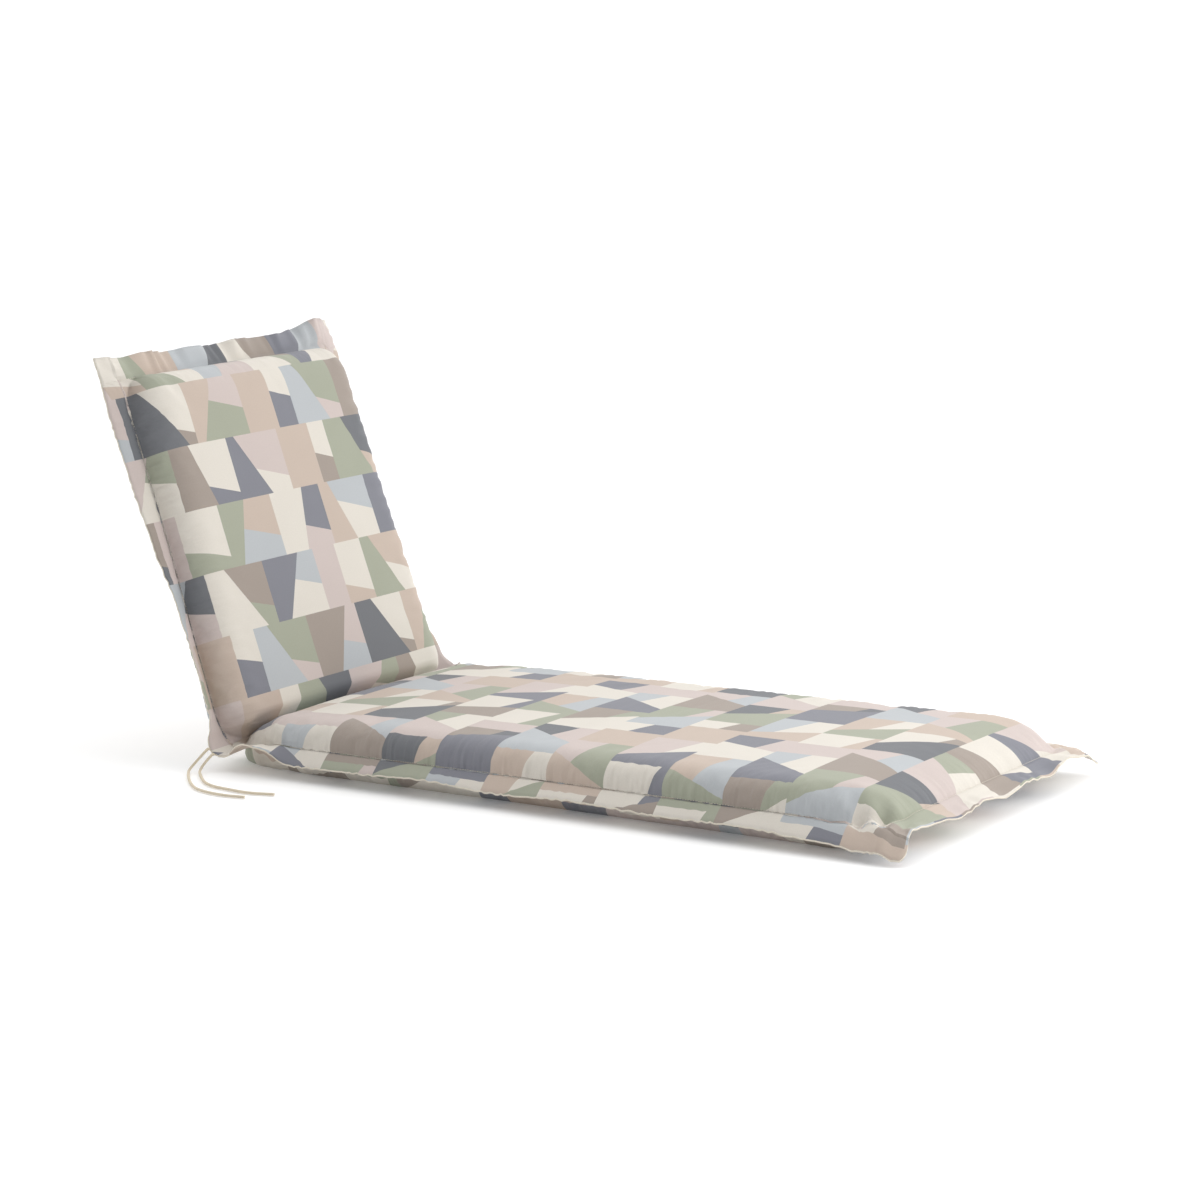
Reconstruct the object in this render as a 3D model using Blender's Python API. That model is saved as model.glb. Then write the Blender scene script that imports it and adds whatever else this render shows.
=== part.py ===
"""Sun lounger cushion: one filled pad, bent at its crease, with a stitched flange, a band and two ties.

The seat section lies flat along +X and the back section leans at its head. Metres, +Z up, and the near
long side faces -Y. The origin is the middle of the box on the surface that the seat lies on.
"""
import math

import bmesh
import bpy
import numpy as np
from mathutils import Vector

# Driving dimensions, in metres
BACK_LENGTH = 0.652
SEAT_LENGTH = 1.248
RECLINE = math.radians(18.4)
BACK_TWIST = 0.048
CREASE_X = -0.50865
CREASE_Z = 0.027
BEND_REACH = 0.030

# Pad: heights of the cover in front of and behind the plane of the flange
SEAM_Z = 0.047
SEAT_RISE_LENGTH = 0.110
SEAT_FRONT = 0.041
SEAT_DIP = 0.010
SEAT_DIP_LENGTH = 0.200
SEAT_REAR = 0.052
BACK_FRONT = 0.050
BACK_REAR_TOP = 0.022
BACK_REAR_LOW = 0.038
SEAT_CROWN = 0.006
BACK_CROWN = 0.009
CREASE_FRONT = 0.006
CREASE_REAR = 0.009
SIDE_ROLL = 0.050
BACK_CREASE_ROLL = 0.055
SEAT_CREASE_ROLL = 0.090
TOP_ROLL = 0.062
FOOT_ROLL = 0.110
ROUNDNESS = 2.3
FOOT_ROUNDNESS = 1.45
FACE_CLEARANCE = 0.94

# Flange: two layers of the cover sewn together all round the pad. The pad's half width and the flange's
# reach at the two ends place the folds of their rims across the width.
CLOTH = 0.0030
TOP_FLANGE = 0.036
FOOT_FLANGE = 0.032
FLANGE_CURL = 1.3
END_HALF_PAD = 0.270
END_REACH = 0.030

# Tips of the flange at the near and far corners: how much each is rounded, from 0 to 1
TOP_TIPS = (0.00, 0.12)
FOOT_TIPS = (0.80, 0.15)

# Band across the rear of the back section, and the ties at the near end of the crease
BAND_CENTRE = 0.245
BAND_WIDTH = 0.030
BAND_THICKNESS = 0.0020
GAP = 0.0004
TIE_DIAMETER = 0.0045
TIE_STEP = 0.010
TIE_SIDES = 2
CURVE_SAMPLES = 24

# Sides, a row for each section: place along from the crease, half width over the flange, reach of the
# flange outside the seam, and how far its near and far rims stand in front of (+) or behind (-) it
SIDE_ROWS = [
    # along, half width, reach, near rim, far rim
    (-0.652, 0.300, 0.036, -0.006, -0.010),
    (-0.560, 0.297, 0.036, -0.012, -0.008),
    (-0.450, 0.295, 0.035, -0.009, -0.012),
    (-0.340, 0.293, 0.033, -0.002, -0.008),
    (-0.240, 0.291, 0.029, 0.010, -0.010),
    (-0.140, 0.291, 0.027, 0.014, -0.006),
    (-0.060, 0.293, 0.028, 0.014, 0.012),
    (0.000, 0.300, 0.044, -0.004, 0.040),
    (0.030, 0.299, 0.046, -0.005, 0.034),
    (0.062, 0.297, 0.042, 0.010, -0.004),
    (0.100, 0.296, 0.032, -0.002, -0.022),
    (0.160, 0.295, 0.025, -0.023, -0.026),
    (0.300, 0.294, 0.025, -0.021, -0.024),
    (0.420, 0.293, 0.025, -0.017, -0.029),
    (0.560, 0.292, 0.026, -0.023, -0.023),
    (0.700, 0.292, 0.025, -0.018, -0.028),
    (0.860, 0.293, 0.025, -0.022, -0.024),
    (1.000, 0.294, 0.025, -0.020, -0.029),
    (1.130, 0.295, 0.025, -0.026, -0.024),
    (1.185, 0.297, 0.030, -0.031, -0.012),
    (1.248, 0.300, 0.032, -0.030, -0.012),
]

# Top flange, a row for each fold across the width: its length and where its rim stands
TOP_ROWS = [
    # across, length, rim
    (-0.300, 0.043, -0.004),
    (-0.240, 0.039, -0.014),
    (-0.185, 0.041, -0.004),
    (-0.130, 0.038, -0.015),
    (-0.075, 0.039, -0.006),
    (-0.015, 0.038, -0.016),
    (0.045, 0.040, -0.005),
    (0.105, 0.039, -0.014),
    (0.160, 0.038, -0.004),
    (0.205, 0.044, -0.018),
    (0.255, 0.053, 0.004),
    (0.300, 0.052, -0.006),
]

# Foot flange, in the same way
FOOT_ROWS = [
    # across, length, rim
    (-0.300, 0.046, -0.024),
    (-0.250, 0.032, -0.006),
    (-0.180, 0.030, -0.012),
    (-0.110, 0.032, -0.018),
    (-0.040, 0.031, -0.010),
    (0.020, 0.032, -0.019),
    (0.085, 0.031, -0.011),
    (0.150, 0.032, -0.017),
    (0.215, 0.030, -0.004),
    (0.262, 0.032, -0.010),
    (0.300, 0.036, -0.020),
]

# Creases of the cover at its corners: start and end of each line, its depth and its half width. Each is
# deepest in its middle, and the fade is how much of the half wave is left off at either end.
CREASE_FADE = 0.15
CREASES = [
    # start along, start across, end along, end across, depth, half width
    (1.150, -0.238, 1.184, -0.276, 0.0100, 0.0090),
    (1.180, -0.250, 1.232, -0.296, -0.0050, 0.0100),
    (1.192, -0.226, 1.210, -0.268, 0.0090, 0.0085),
    (1.190, 0.236, 1.226, 0.288, 0.0050, 0.0090),
    (-0.600, -0.246, -0.644, -0.284, 0.0040, 0.0080),
    (-0.618, 0.192, -0.628, 0.272, 0.0065, 0.0065),
    (0.050, -0.236, 0.074, -0.286, 0.0050, 0.0080),
]

# Grid of the cover: rows between the seams of the two ends, and columns from the middle to a seam
FLANGE_STEPS = (1.0, 0.66, 0.33)
BACK_TO_BAND = (0.000, 0.006, 0.020, 0.042, 0.072, 0.110, 0.150, 0.190, 0.230, 0.270, 0.305)
BAND_TO_CREASE = (-0.195, -0.160, -0.125, -0.095, -0.070, -0.052, -0.038, -0.026, -0.016, -0.007)
CREASE_TO_FOOT = (0.0, 0.007, 0.016, 0.026, 0.038, 0.052, 0.068, 0.085, 0.105, 0.130)
SEAT_STEP = 0.041
FOOT_ROUNDING = (0.120, 0.094, 0.072, 0.054, 0.040, 0.028, 0.018, 0.008, 0.000)
WALL_STEPS = (1.0, 0.980, 0.945, 0.900, 0.850)
MIDDLE_COLUMNS = 8

# Ties: the route's own points, from the crease, down to the floor and along it
TIE_ROUTES = {
    "tie_cord_outer": [
        (-0.0014, -0.3012, 0.0355),
        (-0.0022, -0.3056, 0.0346),
        (-0.0160, -0.3160, 0.0170),
        (-0.0215, -0.3265, 0.0058),
        (-0.0120, -0.3400, 0.0027),
        (0.0140, -0.3660, 0.0027),
        (0.0420, -0.3900, 0.0027),
        (0.0700, -0.4080, 0.0027),
        (0.1050, -0.4180, 0.0027),
        (0.1410, -0.4200, 0.0027),
        (0.1760, -0.4150, 0.0027),
    ],
    "tie_cord_inner": [
        (0.0082, -0.3013, 0.0277),
        (0.0076, -0.3056, 0.0270),
        (-0.0030, -0.3135, 0.0130),
        (-0.0020, -0.3240, 0.0045),
        (0.0110, -0.3370, 0.0027),
        (0.0330, -0.3560, 0.0027),
        (0.0560, -0.3730, 0.0027),
        (0.0840, -0.3845, 0.0027),
        (0.1180, -0.3890, 0.0027),
        (0.1620, -0.3910, 0.0027),
        (0.2060, -0.3810, 0.0027),
    ],
}

PRINT_TONE = (0.52, 0.47, 0.43, 1.0)
BAND_TONE = (0.36, 0.37, 0.38, 1.0)
TIE_TONE = (0.76, 0.68, 0.56, 1.0)
COVER_ROUGHNESS = 0.85
TIE_ROUGHNESS = 0.90
SHARP_EDGE = math.radians(50.0)


def clear_scene():
    for item in list(bpy.data.objects):
        bpy.data.objects.remove(item, do_unlink=True)


def new_collection(name):
    collection = bpy.data.collections.new(name)
    bpy.context.scene.collection.children.link(collection)
    return collection


def principled(name, colour, roughness):
    material = bpy.data.materials.new(name)
    material.use_nodes = True
    shader = material.node_tree.nodes["Principled BSDF"]
    shader.inputs["Base Color"].default_value = colour
    shader.inputs["Roughness"].default_value = roughness
    shader.inputs["Metallic"].default_value = 0.0
    return material


def eased(place, rows, column):
    """Value of a table's column at a place, easing in and out of each row so that rows are crests."""
    places = np.array([row[0] for row in rows])
    values = np.array([row[column] for row in rows])
    place = np.clip(place, places[0], places[-1])
    index = np.clip(np.searchsorted(places, place, side="right") - 1, 0, len(places) - 2)
    share = (place - places[index]) / (places[index + 1] - places[index])
    ease = share * share * (3.0 - 2.0 * share)
    return values[index] * (1.0 - ease) + values[index + 1] * ease


def path(along):
    """Point and normal of the flange's plane in X and Z: straight back, parabola, straight seat."""
    up = np.array([-math.sin(RECLINE), math.cos(RECLINE)])
    forward = np.array([1.0, 0.0])
    near_crease = np.clip(along, -BEND_REACH, BEND_REACH)
    on_back = np.where(along < -BEND_REACH, -along, (BEND_REACH - near_crease) ** 2 / (4.0 * BEND_REACH))
    on_seat = np.where(along > BEND_REACH, along, (BEND_REACH + near_crease) ** 2 / (4.0 * BEND_REACH))
    share = (BEND_REACH + near_crease) / (2.0 * BEND_REACH)
    tangent_x = -(1.0 - share) * up[0] + share * forward[0]
    tangent_z = -(1.0 - share) * up[1] + share * forward[1]
    length = np.hypot(tangent_x, tangent_z)
    rise = np.clip(along / SEAT_RISE_LENGTH, 0.0, 1.0)
    lift = (SEAM_Z - CREASE_Z) * rise * rise * (3.0 - 2.0 * rise)
    x = CREASE_X + on_back * up[0] + on_seat * forward[0]
    z = CREASE_Z + on_back * up[1] + on_seat * forward[1] + lift
    return x, z, -tangent_z / length, tangent_x / length, length


def swell(along, across, half_pad):
    """Share of the full height: 0 on the pad's outline, rounding up to 1 inside, more gently at the foot."""
    on_back = along < 0.0
    first = np.where(on_back, (along + BACK_LENGTH - TOP_FLANGE) / TOP_ROLL, along / SEAT_CREASE_ROLL)
    last = np.where(on_back, -along / BACK_CREASE_ROLL, (SEAT_LENGTH - FOOT_FLANGE - along) / FOOT_ROLL)
    end = np.clip(1.0 - np.minimum(first, last), 0.0, 1.0)
    side = np.clip(1.0 - (half_pad - np.abs(across)) / SIDE_ROLL, 0.0, 1.0)
    outside = np.clip(np.hypot(end, side), 0.0, 1.0)
    at_foot = np.where(on_back, 0.0, np.clip(2.0 * (1.0 - last), 0.0, 1.0))
    softness = ROUNDNESS + (FOOT_ROUNDNESS - ROUNDNESS) * at_foot
    return (1.0 - outside ** ROUNDNESS) ** (1.0 / softness)


def creases(along, across):
    """Depth of the creases at a place: a bell curve of the distance to each crease's line, added up."""
    depth = np.zeros(np.broadcast(along, across).shape)
    for start_x, start_y, end_x, end_y, deep, half_width in CREASES:
        run_x = end_x - start_x
        run_y = end_y - start_y
        share = ((along - start_x) * run_x + (across - start_y) * run_y) / (run_x ** 2 + run_y ** 2)
        share = np.clip(share, 0.0, 1.0)
        distance = np.hypot(along - start_x - share * run_x, across - start_y - share * run_y)
        fade = np.sin(math.pi * (CREASE_FADE + (1.0 - 2.0 * CREASE_FADE) * share))
        depth += deep * fade * np.exp(-(distance / half_width) ** 2)
    return depth


def cover_grid():
    """Rows as places along with their shares of the end flanges, columns as shares of pad and flange."""
    top_seam = -(BACK_LENGTH - TOP_FLANGE)
    foot_seam = SEAT_LENGTH - FOOT_FLANGE
    band = (-BAND_CENTRE - BAND_WIDTH / 2.0, -BAND_CENTRE + BAND_WIDTH / 2.0)
    foot_start = foot_seam - FOOT_ROUNDING[0]
    seat_start = CREASE_TO_FOOT[-1]
    seat_count = round((foot_start - seat_start) / SEAT_STEP)
    seat = np.linspace(seat_start, foot_start, seat_count + 1)[1:-1]
    inner = [top_seam + step for step in BACK_TO_BAND] + list(band) + list(BAND_TO_CREASE)
    inner += list(CREASE_TO_FOOT) + list(seat) + [foot_seam - step for step in FOOT_ROUNDING]
    rows = [(top_seam, step, 0.0) for step in FLANGE_STEPS]
    rows += [(place, 0.0, 0.0) for place in inner]
    rows += [(foot_seam, 0.0, step) for step in reversed(FLANGE_STEPS)]
    middle = np.linspace(0.0, WALL_STEPS[-1], MIDDLE_COLUMNS + 1)[:-1]
    half = [(share, 0.0) for share in middle] + [(share, 0.0) for share in reversed(WALL_STEPS)]
    half += [(1.0, step) for step in reversed(FLANGE_STEPS)]
    columns = [(-share, -step) for share, step in reversed(half[1:])] + half
    return np.array(rows), np.array(columns)


def cover(rows, columns):
    """Front and rear sheets of the cushion, each an array of points with a row for each section.

    A corner's tip is rounded: each flange share shrinks with the square of the other one.
    """
    pad_share = columns[None, :, 0]
    side_share = columns[None, :, 1]
    at_top = rows[:, None, 1]
    at_foot = rows[:, None, 2]
    end_place = pad_share * END_HALF_PAD + side_share * END_REACH
    top_tip = np.where(side_share < 0.0, *TOP_TIPS)
    foot_tip = np.where(side_share < 0.0, *FOOT_TIPS)
    tip = np.where(at_top > 0.0, top_tip, foot_tip)
    top_share = at_top * np.sqrt(1.0 - tip * side_share ** 2 / 2.0)
    foot_share = at_foot * np.sqrt(1.0 - tip * side_share ** 2 / 2.0)
    flange_share = side_share * np.sqrt(1.0 - tip * (at_top + at_foot) ** 2 / 2.0)
    top_length = top_share * eased(end_place, TOP_ROWS, 1)
    foot_length = foot_share * eased(end_place, FOOT_ROWS, 1)
    along = rows[:, None, 0] - top_length + foot_length
    reach = eased(along, SIDE_ROWS, 2)
    half_pad = eased(along, SIDE_ROWS, 1) - reach
    across = half_pad * pad_share + reach * flange_share

    side_rim = np.where(flange_share < 0.0, eased(along, SIDE_ROWS, 3), eased(along, SIDE_ROWS, 4))
    stand = side_rim * np.abs(flange_share) ** FLANGE_CURL
    stand = stand + eased(end_place, TOP_ROWS, 2) * top_share ** FLANGE_CURL
    stand = stand + eased(end_place, FOOT_ROWS, 2) * foot_share ** FLANGE_CURL
    stand = stand - creases(along, across)

    x, z, normal_x, normal_z, stretch = path(along)
    share = swell(along, across, half_pad)
    bulge = 1.0 - (across / half_pad) ** 2
    pinch = np.clip(1.0 - np.abs(along) / BACK_CREASE_ROLL, 0.0, 1.0) ** 2
    seat_full = SEAT_FRONT + SEAT_CROWN * bulge - SEAT_DIP * np.exp(-(along / SEAT_DIP_LENGTH) ** 2)
    front_full = np.where(along < 0.0, BACK_FRONT + BACK_CROWN * bulge, seat_full)
    slope = math.tan(math.pi / 4.0 + RECLINE / 2.0)
    room = FACE_CLEARANCE * slope * np.maximum(BEND_REACH * stretch, np.abs(along))
    inside_pad = np.clip((half_pad - np.abs(across)) / SIDE_ROLL, 0.0, 1.0)
    front = np.minimum(share * front_full + CREASE_FRONT * pinch * inside_pad, room)
    back_share = np.clip(-along / BACK_LENGTH, 0.0, 1.0)
    rear_back = BACK_REAR_LOW + (BACK_REAR_TOP - BACK_REAR_LOW) * back_share
    rear_full = np.where(along < 0.0, rear_back, SEAT_REAR)
    rear = share * rear_full + CREASE_REAR * pinch * inside_pad

    twist = BACK_TWIST * across * back_share
    sheets = []
    for height in (front + CLOTH / 2.0, -rear - CLOTH / 2.0):
        offset = stand + height
        sheet_x = x + normal_x * offset - twist
        sheet_z = np.maximum(z + normal_z * offset, 0.0 if height.mean() < 0.0 else CLOTH)
        sheets.append(np.stack([sheet_x, across, sheet_z], axis=-1))
    return sheets


def closed_mesh(name, front, rear):
    """Closed mesh from two sheets of points of the same size, joined round their rims."""
    rows, columns = front.shape[:2]
    mesh = bmesh.new()
    grids = []
    for sheet in (front, rear):
        grids.append([[mesh.verts.new(Vector(point)) for point in row] for row in sheet])
    top, bottom = grids
    for i in range(rows - 1):
        for j in range(columns - 1):
            mesh.faces.new((top[i][j], top[i + 1][j], top[i + 1][j + 1], top[i][j + 1]))
            mesh.faces.new((bottom[i][j], bottom[i][j + 1], bottom[i + 1][j + 1], bottom[i + 1][j]))
    for i in range(rows - 1):
        mesh.faces.new((top[i][0], bottom[i][0], bottom[i + 1][0], top[i + 1][0]))
        mesh.faces.new((top[i][-1], top[i + 1][-1], bottom[i + 1][-1], bottom[i][-1]))
    for j in range(columns - 1):
        mesh.faces.new((top[0][j], top[0][j + 1], bottom[0][j + 1], bottom[0][j]))
        mesh.faces.new((top[-1][j], bottom[-1][j], bottom[-1][j + 1], top[-1][j + 1]))
    bmesh.ops.recalc_face_normals(mesh, faces=mesh.faces)
    data = bpy.data.meshes.new(name)
    mesh.to_mesh(data)
    mesh.free()
    return data


def add_object(name, data, material, collection):
    item = bpy.data.objects.new(name, data)
    item.data.materials.append(material)
    collection.objects.link(item)
    return item


def make_cushion(front, rear, collection):
    """The pad with its flange: one filled solid."""
    data = closed_mesh("cushion", front, rear)
    data.shade_smooth()
    data.set_sharp_from_angle(angle=SHARP_EDGE)
    add_object("cushion", data, principled("printed_cover_cloth", PRINT_TONE, COVER_ROUGHNESS), collection)


def make_band(rows, rear, collection):
    """The holding band: a flat strip that follows the rear of the back section from seam to seam."""
    first = int(np.argmin(np.abs(rows[:, 0] + BAND_CENTRE + BAND_WIDTH / 2.0)))
    skip = len(FLANGE_STEPS)
    strip = rear[first:first + 2, skip:-skip]
    outward = np.array([-math.cos(RECLINE), 0.0, -math.sin(RECLINE)])
    across = np.gradient(strip, axis=1)
    lengthwise = strip[1] - strip[0]
    normal = np.cross(across, lengthwise[None, :, :])
    normal /= np.linalg.norm(normal, axis=-1, keepdims=True)
    normal *= np.sign(normal @ outward)[..., None]
    inner = strip + normal * GAP
    outer = strip + normal * (GAP + BAND_THICKNESS)
    data = closed_mesh("back_band", outer, inner)
    add_object("back_band", data, principled("printed_band_cloth", BAND_TONE, COVER_ROUGHNESS), collection)


def smooth_route(points, step):
    """Evenly spaced points on a Catmull-Rom curve through the route's own points."""
    knots = np.array(points)
    padded = np.vstack([2.0 * knots[0] - knots[1], knots, 2.0 * knots[-1] - knots[-2]])
    shares = np.linspace(0.0, 1.0, CURVE_SAMPLES, endpoint=False)[:, None]
    dense = []
    for a, b, c, d in zip(padded[:-3], padded[1:-2], padded[2:-1], padded[3:]):
        curve = 2.0 * b + (c - a) * shares + (2.0 * a - 5.0 * b + 4.0 * c - d) * shares ** 2
        dense.append((curve + (3.0 * b - a - 3.0 * c + d) * shares ** 3) / 2.0)
    dense = np.vstack(dense + [knots[-1:]])
    travelled = np.concatenate([[0.0], np.cumsum(np.linalg.norm(np.diff(dense, axis=0), axis=1))])
    count = round(travelled[-1] / step)
    places = np.linspace(0.0, travelled[-1], count + 1)
    return np.stack([np.interp(places, travelled, dense[:, axis]) for axis in range(3)], axis=-1)


def make_tie(name, points, material, collection):
    """One cotton tie: a round cord from the corner of the crease to its cut end on the floor."""
    curve = bpy.data.curves.new(name, "CURVE")
    curve.dimensions = "3D"
    curve.bevel_depth = TIE_DIAMETER / 2.0
    curve.bevel_resolution = TIE_SIDES
    curve.render_resolution_u = 0
    curve.use_fill_caps = True
    route = smooth_route(points, TIE_STEP)
    spline = curve.splines.new("POLY")
    spline.points.add(len(route) - 1)
    for point, place in zip(spline.points, route):
        point.co = (place[0] + CREASE_X, place[1], place[2], 1.0)
    add_object(name, curve, material, collection)


def build():
    clear_scene()
    collection = new_collection("sun_lounger_cushion")
    rows, columns = cover_grid()
    front, rear = cover(rows, columns)
    make_cushion(front, rear, collection)
    make_band(rows, rear, collection)
    tie_material = principled("cotton_tie_cord", TIE_TONE, TIE_ROUGHNESS)
    for name, points in TIE_ROUTES.items():
        make_tie(name, points, tie_material, collection)


build()
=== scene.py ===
"""Looks of the sun lounger cushion: printed cover, seams, holding band, tie cords, floor and light."""
import math

import bpy
import numpy as np
from mathutils import Matrix, Vector


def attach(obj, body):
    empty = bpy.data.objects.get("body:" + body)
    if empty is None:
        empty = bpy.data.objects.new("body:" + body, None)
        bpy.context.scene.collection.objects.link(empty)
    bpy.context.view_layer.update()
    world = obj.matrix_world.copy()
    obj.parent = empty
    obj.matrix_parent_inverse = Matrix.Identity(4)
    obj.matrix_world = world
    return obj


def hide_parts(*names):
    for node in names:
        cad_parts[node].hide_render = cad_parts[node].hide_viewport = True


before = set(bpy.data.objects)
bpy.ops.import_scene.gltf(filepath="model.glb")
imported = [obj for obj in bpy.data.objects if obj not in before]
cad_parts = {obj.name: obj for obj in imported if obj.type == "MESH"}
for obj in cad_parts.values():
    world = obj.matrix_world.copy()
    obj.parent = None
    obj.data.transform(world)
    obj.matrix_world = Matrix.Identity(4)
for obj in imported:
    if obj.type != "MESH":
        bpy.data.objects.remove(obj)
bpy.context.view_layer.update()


# Camera: a long lens about 5 m away, a little above the floor, looking from the foot's near side.
# Its aim is given from the middle of the crease, along the picture's own right and up.
CREASE_X = -0.50865
VIEW_AZIMUTH = math.radians(36.28)
VIEW_ELEVATION = math.radians(10.14)
VIEW_ROLL = math.radians(-2.26)
VIEW_DISTANCE = 4.981
AIM_RIGHT = 0.440
AIM_UP = 0.221
LENS_MM = 89.78


def view_axes():
    """Right, up and back of the camera: the level axes of its azimuth and elevation, rolled about back."""
    sin_a, cos_a = math.sin(VIEW_AZIMUTH), math.cos(VIEW_AZIMUTH)
    sin_e, cos_e = math.sin(VIEW_ELEVATION), math.cos(VIEW_ELEVATION)
    back = np.array([sin_a * cos_e, -cos_a * cos_e, sin_e])
    level = np.array([cos_a, sin_a, 0.0])
    rise = np.cross(back, level)
    right = math.cos(VIEW_ROLL) * level + math.sin(VIEW_ROLL) * rise
    return right, np.cross(back, right), back


def make_camera():
    right, up, back = view_axes()
    place = np.array([CREASE_X, 0.0, 0.0]) + AIM_RIGHT * right + AIM_UP * up + VIEW_DISTANCE * back
    lens = bpy.data.cameras.new("photo_camera")
    lens.lens = LENS_MM
    camera = bpy.data.objects.new("photo_camera", lens)
    camera.matrix_world = Matrix([[*axes, spot] for axes, spot in zip(zip(right, up, back), place)] + [[0, 0, 0, 1]])
    bpy.context.scene.collection.objects.link(camera)
    bpy.context.scene.camera = camera


make_camera()


# Cover: a front and a rear panel of printed plain-weave cotton and polyester, sewn together round the pad
# with the stitch line inside the edge, so that a flange of both layers stands outside it. The filling
# swells each panel between the seams and is pinched at the crease, where the back section folds up.
BACK_LENGTH = 0.652
SEAT_LENGTH = 1.248
RECLINE = math.radians(18.4)
BACK_TWIST = 0.048
CREASE_Z = 0.027
SEAM_Z = 0.047
BEND_REACH = 0.030
SEAT_RISE_LENGTH = 0.110
TOP_FLANGE = 0.036
FOOT_FLANGE = 0.032
FLANGE_CURL = 1.3
CLOTH = 0.0026
END_HALF_PAD = 0.270
END_REACH = 0.030

SEAT_FRONT, SEAT_CROWN, SEAT_DIP, SEAT_DIP_LENGTH, SEAT_REAR = 0.041, 0.006, 0.010, 0.200, 0.052
BACK_FRONT, BACK_CROWN, BACK_REAR_TOP, BACK_REAR_LOW = 0.050, 0.009, 0.022, 0.038
CREASE_FRONT, CREASE_REAR = 0.006, 0.009
SIDE_ROLL, TOP_ROLL, FOOT_ROLL, BACK_CREASE_ROLL, SEAT_CREASE_ROLL = 0.050, 0.062, 0.110, 0.055, 0.090
ROUNDNESS, FOOT_ROUNDNESS = 2.3, 1.45
FACE_CLEARANCE = 0.94

# Long edges: place along from the crease, half width over the flange, flange's reach outside the seam,
# and how far the near and far rims stand in front of (+) or behind (-) the plane of the seam
SIDE_ROWS = [
    (-0.652, 0.300, 0.036, -0.006, -0.010),
    (-0.560, 0.297, 0.036, -0.012, -0.008),
    (-0.450, 0.295, 0.035, -0.009, -0.012),
    (-0.340, 0.293, 0.033, -0.002, -0.008),
    (-0.240, 0.291, 0.029, 0.010, -0.010),
    (-0.140, 0.291, 0.027, 0.014, -0.006),
    (-0.060, 0.293, 0.028, 0.014, 0.012),
    (0.000, 0.300, 0.044, -0.004, 0.040),
    (0.030, 0.299, 0.046, -0.005, 0.034),
    (0.062, 0.297, 0.042, 0.010, -0.004),
    (0.100, 0.296, 0.032, -0.002, -0.022),
    (0.160, 0.295, 0.025, -0.023, -0.026),
    (0.300, 0.294, 0.025, -0.021, -0.024),
    (0.420, 0.293, 0.025, -0.017, -0.029),
    (0.560, 0.292, 0.026, -0.023, -0.023),
    (0.700, 0.292, 0.025, -0.018, -0.028),
    (0.860, 0.293, 0.025, -0.022, -0.024),
    (1.000, 0.294, 0.025, -0.020, -0.029),
    (1.130, 0.295, 0.025, -0.026, -0.024),
    (1.185, 0.297, 0.030, -0.031, -0.012),
    (1.248, 0.300, 0.032, -0.030, -0.012),
]

# End edges: place across, flange's length, and where its rim stands
TOP_ROWS = [
    (-0.300, 0.043, -0.004),
    (-0.240, 0.039, -0.014),
    (-0.185, 0.041, -0.004),
    (-0.130, 0.038, -0.015),
    (-0.075, 0.039, -0.006),
    (-0.015, 0.038, -0.016),
    (0.045, 0.040, -0.005),
    (0.105, 0.039, -0.014),
    (0.160, 0.038, -0.004),
    (0.205, 0.044, -0.018),
    (0.255, 0.053, 0.004),
    (0.300, 0.052, -0.006),
]
FOOT_ROWS = [
    (-0.300, 0.046, -0.024),
    (-0.250, 0.032, -0.006),
    (-0.180, 0.030, -0.012),
    (-0.110, 0.032, -0.018),
    (-0.040, 0.031, -0.010),
    (0.020, 0.032, -0.019),
    (0.085, 0.031, -0.011),
    (0.150, 0.032, -0.017),
    (0.215, 0.030, -0.004),
    (0.262, 0.032, -0.010),
    (0.300, 0.036, -0.020),
]

# Corners of the flange: how much the tip is rounded, from 0 to 1, at the near and far side
TOP_TIPS = (0.00, 0.12)
FOOT_TIPS = (0.80, 0.15)

# Creases of the front panel: start and end of the line as places along and across, depth and half width
CREASES = [
    (1.150, -0.238, 1.184, -0.276, 0.0100, 0.0090),
    (1.180, -0.250, 1.232, -0.296, -0.0050, 0.0100),
    (1.192, -0.226, 1.210, -0.268, 0.0090, 0.0085),
    (1.112, -0.250, 1.140, -0.276, 0.0030, 0.0100),
    (1.212, -0.200, 1.240, -0.262, 0.0040, 0.0090),
    (1.190, 0.236, 1.226, 0.288, 0.0050, 0.0090),
    (1.206, 0.206, 1.236, 0.250, 0.0035, 0.0080),
    (-0.600, -0.246, -0.644, -0.284, 0.0040, 0.0080),
    (-0.618, 0.192, -0.628, 0.272, 0.0065, 0.0065),
    (0.050, -0.236, 0.074, -0.286, 0.0050, 0.0080),
    (0.078, -0.244, 0.112, -0.284, 0.0035, 0.0080),
]

CREASE_FADE = 0.15

# Gathers along the seams: pitch of the puckers, their height on the flange and on the pad, and their reach
SIDE_PITCH, TOP_PITCH, FOOT_PITCH = 0.021, 0.031, 0.036
SIDE_WAVE, TOP_WAVE, FOOT_WAVE = 0.0014, 0.0036, 0.0014
PAD_WAVE, PAD_WAVE_REACH = 0.0008, 0.030
SEAM_DENT, SEAM_DENT_REACH = 0.0018, 0.0040
GATHER_REACH = 0.030
FOOT_GROOVE, FOOT_GROOVE_REACH = 0.0024, 0.13

# Mesh: rows along, columns from the middle to a seam, and steps over a flange
BACK_STEPS, SEAT_STEPS, END_STEPS = 100, 200, 16
MIDDLE_STEPS, ROLL_STEPS, RIM_STEPS = 42, 16, 6


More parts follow.
